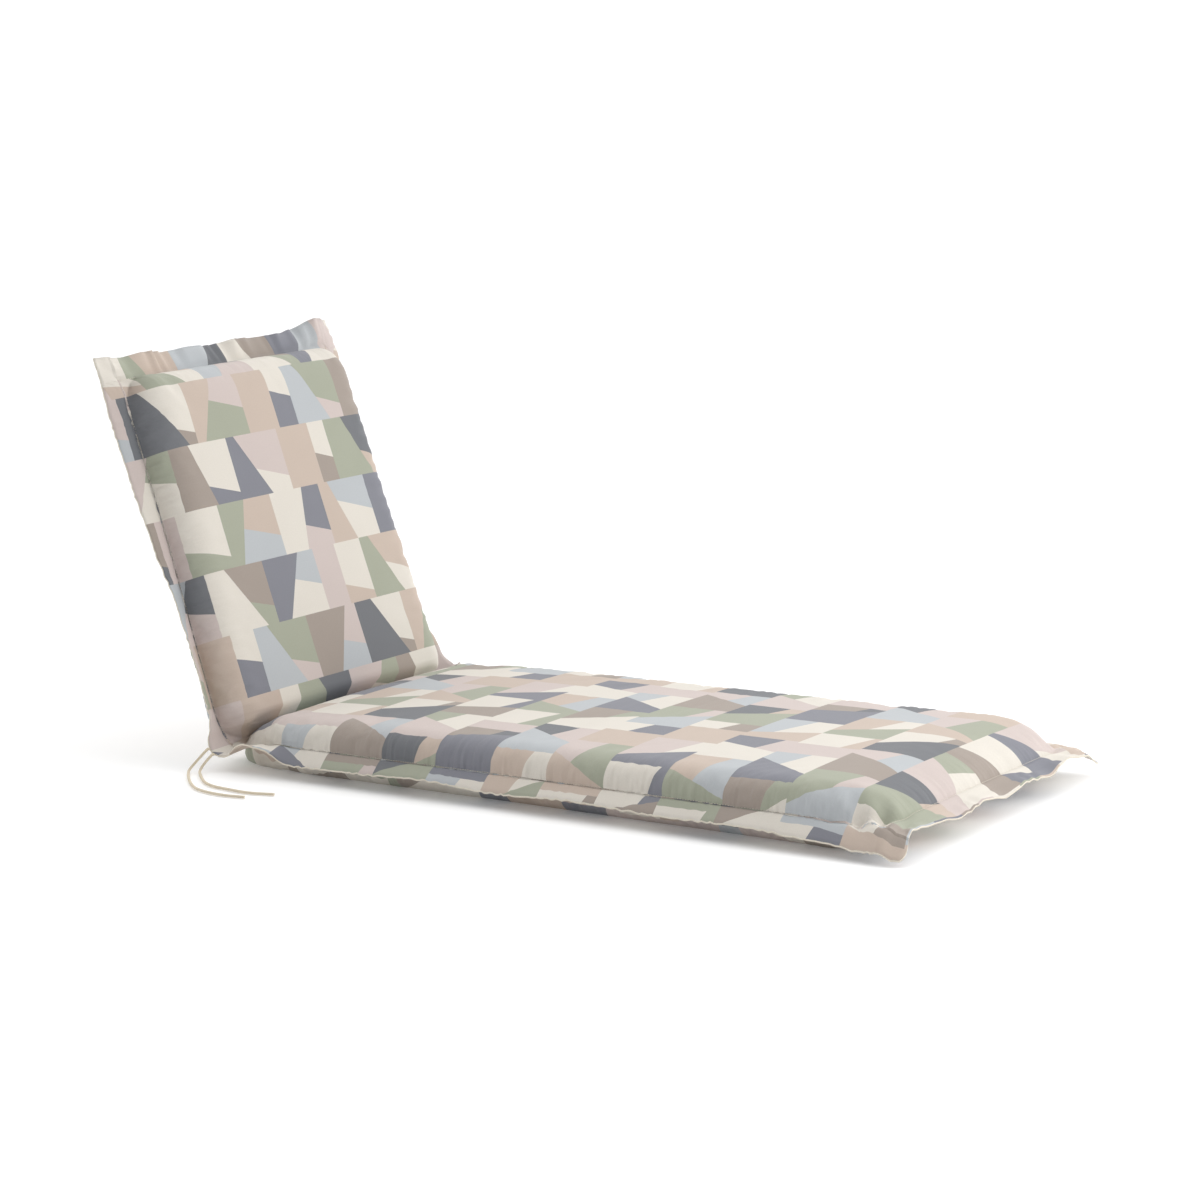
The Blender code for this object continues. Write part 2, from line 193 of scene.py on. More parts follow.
def eased(place, rows, column):
    """Value of a table's column at a place: smoothstep from each row to the next, so that rows are crests."""
    places = np.array([row[0] for row in rows])
    values = np.array([row[column] for row in rows])
    place = np.clip(place, places[0], places[-1])
    index = np.clip(np.searchsorted(places, place, side="right") - 1, 0, len(places) - 2)
    share = (place - places[index]) / (places[index + 1] - places[index])
    ease = share * share * (3.0 - 2.0 * share)
    return values[index] * (1.0 - ease) + values[index + 1] * ease


def gathers(place, pitch, start):
    """Uneven wave from -1 to 1: a sine of the pitch, whose phase and height drift with slower sines."""
    phase = 2.0 * math.pi * place / pitch + start
    drift = 1.5 * np.sin(0.23 * phase + start) + 0.9 * np.sin(0.41 * phase + 2.1 * start)
    height = 0.62 + 0.38 * np.sin(0.17 * phase + 1.7 * start)
    return height * np.sin(phase + drift)


def creases(along, across):
    """Depth of the creases at a place: a bell curve of the distance to each crease's line, added up."""
    depth = np.zeros(np.broadcast(along, across).shape)
    for start_x, start_y, end_x, end_y, deep, half_width in CREASES:
        run_x, run_y = end_x - start_x, end_y - start_y
        share = ((along - start_x) * run_x + (across - start_y) * run_y) / (run_x ** 2 + run_y ** 2)
        share = np.clip(share, 0.0, 1.0)
        distance = np.hypot(along - start_x - share * run_x, across - start_y - share * run_y)
        fade = np.sin(math.pi * (CREASE_FADE + (1.0 - 2.0 * CREASE_FADE) * share))
        depth += deep * fade * np.exp(-(distance / half_width) ** 2)
    return depth


def plane_of_seam(along):
    """Point, normal and stretch of the seam's plane in X and Z: a straight back, a parabola, a straight seat."""
    back_x, back_z = -math.sin(RECLINE), math.cos(RECLINE)
    near = np.clip(along, -BEND_REACH, BEND_REACH)
    on_back = np.where(along < -BEND_REACH, -along, (BEND_REACH - near) ** 2 / (4.0 * BEND_REACH))
    on_seat = np.where(along > BEND_REACH, along, (BEND_REACH + near) ** 2 / (4.0 * BEND_REACH))
    share = (BEND_REACH + near) / (2.0 * BEND_REACH)
    tangent_x = share - (1.0 - share) * back_x
    tangent_z = -(1.0 - share) * back_z
    stretch = np.hypot(tangent_x, tangent_z)
    rise = np.clip(along / SEAT_RISE_LENGTH, 0.0, 1.0)
    lift = (SEAM_Z - CREASE_Z) * rise * rise * (3.0 - 2.0 * rise)
    x = CREASE_X + on_back * back_x + on_seat
    z = CREASE_Z + on_back * back_z + lift
    return x, z, -tangent_z / stretch, tangent_x / stretch, stretch


def swell(along, across, half_pad):
    """Share of the pad's full height: a superellipse from 0 at the seams to 1 inside, on back and seat alike."""
    on_back = along < 0.0
    first = np.where(on_back, (along + BACK_LENGTH - TOP_FLANGE) / TOP_ROLL, along / SEAT_CREASE_ROLL)
    last = np.where(on_back, -along / BACK_CREASE_ROLL, (SEAT_LENGTH - FOOT_FLANGE - along) / FOOT_ROLL)
    end = np.clip(1.0 - np.minimum(first, last), 0.0, 1.0)
    side = np.clip(1.0 - (half_pad - np.abs(across)) / SIDE_ROLL, 0.0, 1.0)
    outside = np.clip(np.hypot(end, side), 0.0, 1.0)
    at_foot = np.where(on_back, 0.0, np.clip(2.0 * (1.0 - last), 0.0, 1.0))
    softness = ROUNDNESS + (FOOT_ROUNDNESS - ROUNDNESS) * at_foot
    return (1.0 - outside ** ROUNDNESS) ** (1.0 / softness)


def rolled(start, end, count, first_roll, last_roll):
    """Places from start to end, closer together in the rolls: even steps of a superellipse's angle there."""
    shares = np.linspace(0.0, math.pi / 2.0, END_STEPS + 1)
    ease = 1.0 - np.cos(shares) ** (2.0 / ROUNDNESS)
    middle = np.linspace(start + first_roll, end - last_roll, count)
    return np.concatenate([start + first_roll * ease[:-1], middle, (end - last_roll * ease[:-1])[::-1]])


def cover_grid():
    """Rows (place, top flange's share, foot flange's share) and columns (pad's share, flange's share)."""
    top_seam, foot_seam = TOP_FLANGE - BACK_LENGTH, SEAT_LENGTH - FOOT_FLANGE
    back = rolled(top_seam, 0.0, BACK_STEPS, TOP_ROLL, BACK_CREASE_ROLL)
    seat = rolled(0.0, foot_seam, SEAT_STEPS, SEAT_CREASE_ROLL, FOOT_ROLL)
    steps = np.arange(1, RIM_STEPS + 1) / RIM_STEPS
    places = np.concatenate([np.full(RIM_STEPS, top_seam), back, seat[1:], np.full(RIM_STEPS, foot_seam)])
    top_share, foot_share = np.zeros(len(places)), np.zeros(len(places))
    top_share[:RIM_STEPS], foot_share[-RIM_STEPS:] = steps[::-1], steps
    angle = np.linspace(0.0, math.pi / 2.0, ROLL_STEPS + 1)
    roll_share = SIDE_ROLL / END_HALF_PAD
    wall = (1.0 - roll_share * (1.0 - np.cos(angle) ** (2.0 / ROUNDNESS)))[::-1]
    middle = np.linspace(0.0, 1.0 - roll_share, MIDDLE_STEPS + 1)[:-1]
    pad = np.concatenate([middle, wall, np.ones(RIM_STEPS)])
    rim = np.concatenate([np.zeros(len(middle) + len(wall)), steps])
    columns = np.stack([np.concatenate([-pad[:0:-1], pad]), np.concatenate([-rim[:0:-1], rim])], axis=-1)
    return np.stack([places, top_share, foot_share], axis=-1), columns


def cover_sheets(rows, columns, folds=1.0):
    """Front and rear panel as grids of points: the seam's plane, moved along its normal by swell, rims and folds."""
    pad_share, side_share = columns[None, :, 0], columns[None, :, 1]
    end_place = pad_share * END_HALF_PAD + side_share * END_REACH
    tips = np.where(rows[:, None, 1] > 0.0, np.where(side_share < 0.0, *TOP_TIPS), np.where(side_share < 0.0, *FOOT_TIPS))
    top_share = rows[:, None, 1] * np.sqrt(1.0 - tips * side_share ** 2 / 2.0)
    foot_share = rows[:, None, 2] * np.sqrt(1.0 - tips * side_share ** 2 / 2.0)
    flange_share = side_share * np.sqrt(1.0 - tips * (rows[:, None, 1] + rows[:, None, 2]) ** 2 / 2.0)
    along = rows[:, None, 0] - top_share * eased(end_place, TOP_ROWS, 1) + foot_share * eased(end_place, FOOT_ROWS, 1)
    reach = eased(along, SIDE_ROWS, 2)
    half_pad = eased(along, SIDE_ROWS, 1) - reach
    across = half_pad * pad_share + reach * flange_share
    side_rim = np.where(flange_share < 0.0, eased(along, SIDE_ROWS, 3), eased(along, SIDE_ROWS, 4))
    stand = side_rim * np.abs(flange_share) ** FLANGE_CURL
    stand = stand + eased(end_place, TOP_ROWS, 2) * top_share ** FLANGE_CURL
    stand = stand + eased(end_place, FOOT_ROWS, 2) * foot_share ** FLANGE_CURL
    side_start = np.sign(side_share)
    waves = SIDE_WAVE * np.abs(flange_share) * gathers(along, SIDE_PITCH, side_start)
    waves = waves + TOP_WAVE * np.sqrt(top_share) * gathers(end_place, TOP_PITCH, 0.6)
    waves = waves + FOOT_WAVE * foot_share * gathers(end_place, FOOT_PITCH, 2.2)
    waves = waves - FOOT_GROOVE * np.exp(-((foot_share - 0.5) / FOOT_GROOVE_REACH) ** 2)
    stand = stand + folds * (waves - creases(along, across))

    x, z, normal_x, normal_z, stretch = plane_of_seam(along)
    share = swell(along, across, half_pad)
    bulge = 1.0 - (across / half_pad) ** 2
    pinch = np.clip(1.0 - np.abs(along) / BACK_CREASE_ROLL, 0.0, 1.0) ** 2
    inside_pad = np.clip((half_pad - np.abs(across)) / SIDE_ROLL, 0.0, 1.0)
    seat_full = SEAT_FRONT + SEAT_CROWN * bulge - SEAT_DIP * np.exp(-(along / SEAT_DIP_LENGTH) ** 2)
    front_full = np.where(along < 0.0, BACK_FRONT + BACK_CROWN * bulge, seat_full)
    slope = math.tan(math.pi / 4.0 + RECLINE / 2.0)
    room = FACE_CLEARANCE * slope * np.maximum(BEND_REACH * stretch, np.abs(along))
    front = np.minimum(share * front_full + CREASE_FRONT * pinch * inside_pad, room)
    back_share = np.clip(-along / BACK_LENGTH, 0.0, 1.0)
    rear_back = BACK_REAR_LOW + (BACK_REAR_TOP - BACK_REAR_LOW) * back_share
    rear = share * np.where(along < 0.0, rear_back, SEAT_REAR) + CREASE_REAR * pinch * inside_pad
    twist = BACK_TWIST * across * back_share
    from_side = (half_pad - np.abs(across)) / PAD_WAVE_REACH
    pad_wave = folds * PAD_WAVE * gathers(along, SIDE_PITCH, np.sign(pad_share)) * np.exp(-(from_side - 0.5) ** 2)
    pad_wave = np.where(np.abs(side_share) + top_share + foot_share > 0.0, 0.0, pad_wave)
    at_seam = np.exp(-((half_pad - np.abs(across)) / SEAM_DENT_REACH) ** 2)
    at_seam = np.where(top_share + foot_share > 0.0, 0.0, at_seam)
    half_cloth = CLOTH / 2.0 + pad_wave - folds * SEAM_DENT * at_seam
    sheets = []
    for height, lowest in ((front + half_cloth, CLOTH), (-rear - half_cloth, 0.0)):
        offset = stand + height
        sheet_z = np.maximum(z + normal_z * offset, lowest)
        sheets.append(np.stack([x + normal_x * offset - twist, across, sheet_z], axis=-1))
    return np.stack(sheets)


def seam_nearness(rows, columns):
    """From 1 at a seam to 0 inside the pad and out on the flange: a bell curve of the distance to the seam."""
    from_side = np.where(columns[:, 1] == 0.0, (1.0 - np.abs(columns[:, 0])) * END_HALF_PAD, 2.0 * END_REACH)
    place = rows[:, 0]
    from_end = np.minimum(place + BACK_LENGTH - TOP_FLANGE, SEAT_LENGTH - FOOT_FLANGE - place)
    from_side, from_end = np.broadcast_arrays(from_side[None, :], from_end[:, None])
    near_side = np.exp(-(from_side / GATHER_REACH) ** 2)
    near_end = np.where(rows[:, None, 1] + rows[:, None, 2] > 0.0, 0.0, np.exp(-(from_end / GATHER_REACH) ** 2))
    return near_side * (1.0 - near_end), near_end * (1.0 - near_side)


def cloth_map(sheet, columns):
    """Print coordinates in metres: lengths over the cloth, across from the middle column and along it."""
    middle = len(columns) // 2
    across = np.linalg.norm(np.diff(sheet, axis=1, prepend=sheet[:, :1]), axis=2).cumsum(axis=1)
    across -= across[:, middle:middle + 1]
    along = np.linalg.norm(np.diff(sheet[:, middle], axis=0, prepend=sheet[:1, middle]), axis=1).cumsum()
    return np.stack([across, np.broadcast_to(along[:, None], across.shape)], axis=-1)


def mesh_of_sheets(name, front, rear, front_map, rear_map):
    """Closed mesh of two grids of the same size and a strip of faces round their rims, with a map for each."""
    rows, columns = front.shape[:2]
    index = np.arange(rows * columns).reshape(rows, columns)
    quads = np.stack([index[:-1, :-1], index[1:, :-1], index[1:, 1:], index[:-1, 1:]], axis=-1).reshape(-1, 4)
    rim = np.concatenate([index[0, :-1], index[:-1, -1], index[-1, :0:-1], index[:0:-1, 0]])
    after = np.roll(rim, -1)
    shift = rows * columns
    strip = np.stack([rim, after, after + shift, rim + shift], axis=-1)
    faces = np.concatenate([quads, quads[:, ::-1] + shift, strip])
    mesh = bpy.data.meshes.new(name)
    mesh.from_pydata(np.concatenate([front.reshape(-1, 3), rear.reshape(-1, 3)]), [], faces)
    layer = mesh.uv_layers.new(name="cloth_map")
    corners = np.concatenate([front_map.reshape(-1, 2), rear_map.reshape(-1, 2)])[faces.reshape(-1)]
    layer.data.foreach_set("uv", corners.reshape(-1))
    slots = np.zeros(len(faces), dtype=np.int32)
    slots[2 * len(quads):] = 1
    mesh.polygons.foreach_set("material_index", slots)
    mesh.shade_smooth()
    mesh.update()
    return mesh


# Fill: the panels are cut a little larger than their seams hold, so that a filled cover puckers along them.
# Blender's cloth simulation makes the puckers, with pressure inside and the flange held. They are worked out
# on every second point of the grid, and the even swelling is taken off, so the pad keeps its size.
FILL_PRESSURE = 1.2
FILL_FRAMES = 16
SPARE_CLOTH = 0.022
SWELLING_PASSES = 36
PUCKER_LIMIT = 0.0075
PUCKER_SHARE = 0.6
PUCKER_REACH, PUCKERS_INSIDE = 0.055, 0.25
END_ZONE, CREASE_ZONE, FLOOR_ZONE = 0.110, 0.060, 0.012


def smoothed(field, axis, passes):
    """Each value replaced by a quarter, a half and a quarter of it and its neighbours, as often as passes says."""
    for _ in range(passes):
        before = np.concatenate([field.take([0], axis), field.take(range(field.shape[axis] - 1), axis)], axis)
        after = np.concatenate([field.take(range(1, field.shape[axis]), axis), field.take([-1], axis)], axis)
        field = (before + 2.0 * field + after) / 4.0
    return field


def refined(field, axis):
    """Twice as many steps: a cubic through four neighbours gives each new value between two old ones."""
    old = np.moveaxis(field, axis, 0)
    wide = np.concatenate([old[:1], old, old[-1:]])
    new = np.empty((2 * len(old) - 1, *old.shape[1:]))
    new[::2] = old
    new[1::2] = (9.0 * (wide[1:-2] + wide[2:-1]) - wide[:-3] - wide[3:]) / 16.0
    return np.moveaxis(new, 0, axis)


def filled_moves(sheets, held):
    """How far pressure moves each point of both sheets, with the held points fixed and no weight."""
    mesh = mesh_of_sheets("filling_test", *sheets, sheets[0, ..., :2], sheets[0, ..., :2])
    piece = bpy.data.objects.new("filling_test", mesh)
    bpy.context.scene.collection.objects.link(piece)
    pins = piece.vertex_groups.new(name="flange")
    pins.add(np.flatnonzero(np.tile(held.ravel(), 2)).tolist(), 1.0, "REPLACE")
    cloth = piece.modifiers.new("fill", "CLOTH")
    cloth.settings.quality = 4
    cloth.settings.mass = 0.15
    cloth.settings.tension_stiffness = 20.0
    cloth.settings.compression_stiffness = 20.0
    cloth.settings.bending_stiffness = 0.03
    cloth.settings.vertex_group_mass = pins.name
    cloth.settings.use_pressure = True
    cloth.settings.uniform_pressure_force = FILL_PRESSURE
    cloth.settings.shrink_min = -SPARE_CLOTH
    cloth.settings.effector_weights.gravity = 0.0
    cloth.collision_settings.use_collision = False
    cloth.collision_settings.use_self_collision = False
    cloth.point_cache.frame_end = FILL_FRAMES
    for number in range(1, FILL_FRAMES + 1):
        bpy.context.scene.frame_set(number)
    result = piece.evaluated_get(bpy.context.evaluated_depsgraph_get())
    points = np.empty(len(mesh.vertices) * 3, dtype=np.float32)
    result.data.vertices.foreach_get("co", points)
    bpy.data.objects.remove(piece, do_unlink=True)
    bpy.data.meshes.remove(mesh)
    bpy.context.scene.frame_set(1)
    return points.reshape(sheets.shape) - sheets


def add_puckers(sheets, rows, columns):
    """The simulated moves less their mean along the nearest seam, so that only the folds across it are left."""
    held = (np.abs(columns[None, :, 0]) >= 1.0) | (rows[:, None, 1] + rows[:, None, 2] > 0.0)
    edge = np.flatnonzero(rows[:, 1] + rows[:, 2] > 0.0)
    held[[RIM_STEPS, edge[edge > RIM_STEPS].min() - 1]] = True
    moves = filled_moves(sheets[:, ::2, ::2], held[::2, ::2])
    across_folds = moves - smoothed(moves, 1, SWELLING_PASSES)
    end_folds = moves - smoothed(moves, 2, SWELLING_PASSES)
    along = rows[::2, 0]
    to_end = np.minimum(along + BACK_LENGTH - TOP_FLANGE, SEAT_LENGTH - FOOT_FLANGE - along)
    at_end = np.clip(1.0 - to_end / END_ZONE, 0.0, 1.0)[None, :, None, None]
    folds = across_folds * (1.0 - at_end) + end_folds * at_end
    folds *= np.clip(np.abs(along) / CREASE_ZONE, 0.0, 1.0)[None, :, None, None]
    folds = refined(refined(folds, 1), 2) * PUCKER_SHARE
    from_seam = END_HALF_PAD * (1.0 - np.abs(columns[None, None, :, :1]))
    folds *= PUCKERS_INSIDE + (1.0 - PUCKERS_INSIDE) * np.exp(-(from_seam / PUCKER_REACH) ** 2)
    size = np.linalg.norm(folds, axis=-1, keepdims=True)
    folds *= PUCKER_LIMIT * np.tanh(size / PUCKER_LIMIT) / np.maximum(size, 1e-9)
    folds *= np.clip(sheets[..., 2:] / FLOOR_ZONE, 0.0, 1.0)
    moved = sheets + folds
    moved[..., 2] = np.maximum(moved[..., 2], 0.0)
    return moved


def linear(hex_colour):
    """Linear colour of an sRGB hex value: a channel over 12.92 if dark, else ((c + 0.055) / 1.055) ** 2.4."""
    channels = [int(hex_colour[i:i + 2], 16) / 255.0 for i in (1, 3, 5)]
    return (*(c / 12.92 if c <= 0.04045 else ((c + 0.055) / 1.055) ** 2.4 for c in channels), 1.0)


def add_node(tree, kind, settings=None, inputs=None):
    """Adds a node, sets its properties, and gives each input a value or a link from an output socket."""
    node = tree.nodes.new(kind)
    for name, value in (settings or {}).items():
        setattr(node, name, value)
    for name, value in (inputs or {}).items():
        if isinstance(value, bpy.types.NodeSocket):
            tree.links.new(value, node.inputs[name])
        else:
            node.inputs[name].default_value = value
    return node


def math_node(tree, operation, first, second=0.0, third=0.0):
    return add_node(tree, "ShaderNodeMath", {"operation": operation}, {0: first, 1: second, 2: third}).outputs[0]


def lookup(tree, place, values):
    """Colour ramp in even constant steps: the value of the step that place, from 0 to 1, falls in."""
    ramp = add_node(tree, "ShaderNodeValToRGB", None, {0: place})
    ramp.color_ramp.interpolation = "CONSTANT"
    steps = ramp.color_ramp.elements
    steps.remove(steps[1])
    steps[0].color = values[0]
    for number, value in enumerate(values[1:], 1):
        steps.new(number / len(values)).color = value
    return ramp.outputs[0]


# Print: slanted patches in rows set like bricks. Each cell is cut by a slanted line, and the piece to the
# right of it by a second one. The cells are charted over a repeat of five across and four along.
CELL_ACROSS, CELL_ALONG = 0.124, 0.104
REPEAT_ACROSS, REPEAT_ALONG = 5, 4
INKS = {
    "cream": "#ddd7cd",
    "blush": "#ccbfba",
    "tan": "#c6b6a9",
    "taupe": "#a3988f",
    "sage": "#a6a998",
    "pale": "#b9bdc0",
    "slate": "#84858d",
    "charcoal": "#75777b",
}
PRINT_CELLS = [
    # cut at the foot side, cut at the head side, second cut's height, left ink, right ink, far ink
    (0.30, 0.80, 0.55, "cream", "taupe", "sage"),
    (0.70, 0.25, 0.40, "slate", "pale", "cream"),
    (0.45, 0.45, 0.70, "blush", "cream", "tan"),
    (0.20, 0.65, 0.50, "sage", "tan", "cream"),
    (0.75, 0.35, 0.45, "pale", "charcoal", "blush"),
    (0.60, 0.60, 0.35, "tan", "cream", "slate"),
    (0.25, 0.70, 0.60, "pale", "sage", "blush"),
    (0.80, 0.40, 0.50, "taupe", "blush", "pale"),
    (0.35, 0.85, 0.65, "charcoal", "cream", "taupe"),
    (0.55, 0.15, 0.40, "tan", "blush", "sage"),
    (0.15, 0.60, 0.60, "slate", "blush", "cream"),
    (0.65, 0.65, 0.45, "tan", "cream", "taupe"),
    (0.40, 0.80, 0.55, "sage", "charcoal", "tan"),
    (0.70, 0.30, 0.35, "blush", "sage", "cream"),
    (0.30, 0.55, 0.70, "taupe", "cream", "slate"),
    (0.50, 0.20, 0.50, "sage", "tan", "pale"),
    (0.65, 0.45, 0.60, "cream", "slate", "blush"),
    (0.20, 0.50, 0.40, "tan", "pale", "cream"),
    (0.60, 0.85, 0.55, "slate", "taupe", "charcoal"),
    (0.35, 0.35, 0.65, "blush", "cream", "sage"),
]
SECOND_CUT_SLOPE = 0.35


def print_colour(tree, across, along):
    """Ink at a place on the cloth: the cell from the floors, then the side of its two slanted cuts."""
    row_place = math_node(tree, "DIVIDE", along, CELL_ALONG)
    row = math_node(tree, "FLOOR", row_place)
    brick = math_node(tree, "MULTIPLY", row, 0.5)
    column_place = math_node(tree, "ADD", math_node(tree, "DIVIDE", across, CELL_ACROSS), brick)
    column = math_node(tree, "FLOOR", column_place)
    cell_x = math_node(tree, "SUBTRACT", column_place, column)
    cell_y = math_node(tree, "SUBTRACT", row_place, row)
    column = math_node(tree, "FLOORED_MODULO", column, REPEAT_ACROSS)
    row = math_node(tree, "FLOORED_MODULO", row, REPEAT_ALONG)
    number = math_node(tree, "MULTIPLY_ADD", row, REPEAT_ACROSS, column)
    place = math_node(tree, "DIVIDE", math_node(tree, "ADD", number, 0.5), len(PRINT_CELLS))
    cuts = lookup(tree, place, [(*cell[:3], 1.0) for cell in PRINT_CELLS])
    inks = [lookup(tree, place, [linear(INKS[cell[part]]) for cell in PRINT_CELLS]) for part in (3, 4, 5)]
    cut = add_node(tree, "ShaderNodeSeparateColor", None, {0: cuts}).outputs
    turn = math_node(tree, "SUBTRACT", cut[1], cut[0])
    first = math_node(tree, "MULTIPLY_ADD", turn, cell_y, cut[0])
    right_side = math_node(tree, "GREATER_THAN", cell_x, first)
    second = math_node(tree, "MULTIPLY_ADD", math_node(tree, "SUBTRACT", cell_x, 0.5), SECOND_CUT_SLOPE, cut[2])
    far_side = math_node(tree, "GREATER_THAN", cell_y, second)
    right = add_node(tree, "ShaderNodeMix", {"data_type": "RGBA"}, {0: far_side, 6: inks[1], 7: inks[2]})
    return add_node(tree, "ShaderNodeMix", {"data_type": "RGBA"}, {0: right_side, 6: inks[0], 7: right.outputs[2]}).outputs[2]


def new_material(name):
    material = bpy.data.materials.new(name)
    material.use_nodes = True
    return material, material.node_tree, material.node_tree.nodes["Principled BSDF"]


# Threads of the cloth are about 0.5 mm apart, too fine to show, so the weave is drawn at 1.6 mm. The finest
# gathers at the seams are about 12 mm apart and under 2 mm high, and weaker at the two ends.
WEAVE_PITCH = 0.0016
GATHER_PITCH, GATHER_HEIGHT, END_GATHERS = 0.012, 0.0050, 0.4


def pinched_gathers(tree, place, share, cloudy):
    """Height of the finest gathers: noise stretched away from the seam, times the share read per point."""
    near = add_node(tree, "ShaderNodeAttribute", {"attribute_name": share}).outputs["Fac"]
    line = add_node(tree, "ShaderNodeCombineXYZ", None, {0: place, 1: math_node(tree, "MULTIPLY", cloudy, 0.05)})
    settings = {"Vector": line.outputs[0], "Scale": 1.0 / GATHER_PITCH, "Detail": 1.0}
    folds = add_node(tree, "ShaderNodeTexNoise", None, settings).outputs[0]
    return math_node(tree, "MULTIPLY", folds, near)


def printed_plain_weave(name):
    """Printed plain-weave cloth: matt, with crisp inks that are a little uneven and a fine crossed thread."""
    material, tree, shader = new_material(name)
    cloth = add_node(tree, "ShaderNodeUVMap", {"uv_map": "cloth_map"}).outputs[0]
    parts = add_node(tree, "ShaderNodeSeparateXYZ", None, {0: cloth}).outputs
    ink = print_colour(tree, parts[0], parts[1])
    cloudy = add_node(tree, "ShaderNodeTexNoise", None, {"Vector": cloth, "Scale": 9.0, "Detail": 3.0}).outputs[0]
    fine = add_node(tree, "ShaderNodeTexNoise", None, {"Vector": cloth, "Scale": 420.0, "Detail": 2.0}).outputs[0]
    uneven = math_node(tree, "MULTIPLY_ADD", cloudy, 0.06, 0.94)
    uneven = math_node(tree, "MULTIPLY", uneven, math_node(tree, "MULTIPLY_ADD", fine, 0.10, 0.96))
    tinted = add_node(tree, "ShaderNodeVectorMath", {"operation": "SCALE"}, {0: ink, "Scale": uneven}).outputs[0]
    tree.links.new(tinted, shader.inputs["Base Color"])
    warp = math_node(tree, "SINE", math_node(tree, "MULTIPLY", parts[0], 2.0 * math.pi / WEAVE_PITCH))
    weft = math_node(tree, "SINE", math_node(tree, "MULTIPLY", parts[1], 2.0 * math.pi / WEAVE_PITCH))
    weave = math_node(tree, "MULTIPLY_ADD", math_node(tree, "MULTIPLY", warp, weft), 0.5, fine)
    gather = pinched_gathers(tree, parts[1], "side_gathers", cloudy)
    at_end = pinched_gathers(tree, parts[0], "end_gathers", cloudy)
    gather = math_node(tree, "MULTIPLY_ADD", at_end, END_GATHERS, gather)
    pinched = add_node(tree, "ShaderNodeBump", None, {"Strength": 1.0, "Distance": GATHER_HEIGHT, "Height": gather})
    settings = {"Strength": 0.25, "Distance": 0.0004, "Height": weave, "Normal": pinched.outputs[0]}
    bump = add_node(tree, "ShaderNodeBump", None, settings)
    tree.links.new(bump.outputs[0], shader.inputs["Normal"])
    shader.inputs["Roughness"].default_value = 0.86
    shader.inputs["Specular IOR Level"].default_value = 0.25
    shader.inputs["Sheen Weight"].default_value = 0.15
    return material


def edge_thread(name):
    """Overlocked raw edge: cream polyester thread in close loops over the cut, matt and a little fuzzy."""
    material, tree, shader = new_material(name)
    place = add_node(tree, "ShaderNodeTexCoord").outputs["Object"]
    loops = add_node(tree, "ShaderNodeTexNoise", None, {"Vector": place, "Scale": 700.0, "Detail": 2.0}).outputs[0]
    shade = add_node(tree, "ShaderNodeMix", {"data_type": "RGBA"}, {0: loops, 6: linear("#cfc6b6"), 7: linear("#efe8da")})
    tree.links.new(shade.outputs[2], shader.inputs["Base Color"])
    bump = add_node(tree, "ShaderNodeBump", None, {"Strength": 0.4, "Distance": 0.0005, "Height": loops})
    tree.links.new(bump.outputs[0], shader.inputs["Normal"])
    shader.inputs["Roughness"].default_value = 0.9
    return material


REAR_PRINT_SHIFT = (0.29, 0.17)


def add_piece(name, mesh, body, slot, *materials):
    piece = bpy.data.objects.new(name, mesh)
    bpy.context.scene.collection.objects.link(piece)
    for material in materials:
        mesh.materials.append(material)
    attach(piece, body)
    return piece


cover_rows, cover_columns = cover_grid()
flat_shape = cover_sheets(cover_rows, cover_columns, folds=0.0)
cover_shape = cover_sheets(cover_rows, cover_columns)
cover_shape = add_puckers(cover_shape, cover_rows, cover_columns)
front_sheet, rear_sheet = cover_shape
cover_map = cloth_map(flat_shape[0], cover_columns)
rear_map = cloth_map(flat_shape[1], cover_columns) * (-1.0, 1.0) + REAR_PRINT_SHIFT
cover_mesh = mesh_of_sheets("cushion_cover", front_sheet, rear_sheet, cover_map, rear_map)
for layer_name, shares in zip(("side_gathers", "end_gathers"), seam_nearness(cover_rows, cover_columns)):
    layer = cover_mesh.attributes.new(layer_name, "FLOAT", "POINT")
    layer.data.foreach_set("value", np.tile(shares.ravel(), 2).astype(np.float32))
cover_cloth = printed_plain_weave("printed_plain_weave")
cover_edge = edge_thread("overlocked_edge_thread")
cushion_cover = add_piece("cushion_cover", cover_mesh, "root", "cover_cloth", cover_cloth, cover_edge)
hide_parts("cushion")


# Stitch lines: one lockstitch of cream polyester thread round the pad, through both panels, so that short
# bars of thread show on the front and on the rear.
STITCH_PITCH, STITCH_LENGTH, THREAD_RADIUS = 0.0046, 0.0034, 0.00042
THREAD_SIDES, THREAD_RINGS = 5, 4


def seam_line(sheet, columns, outward):
    """The pad's outline on a panel, point by point round it, and the panel's outward normal at each point."""
    normal = np.cross(np.gradient(sheet, axis=0), np.gradient(sheet, axis=1)) * outward
    normal /= np.maximum(np.linalg.norm(normal, axis=-1, keepdims=True), 1e-9)
    inside = slice(RIM_STEPS, -RIM_STEPS)
    both = np.concatenate([sheet, normal], axis=-1)[inside, inside]
    return np.concatenate([both[0, :-1], both[:-1, -1], both[-1, :0:-1], both[:0:-1, 0], both[:1, 0]])


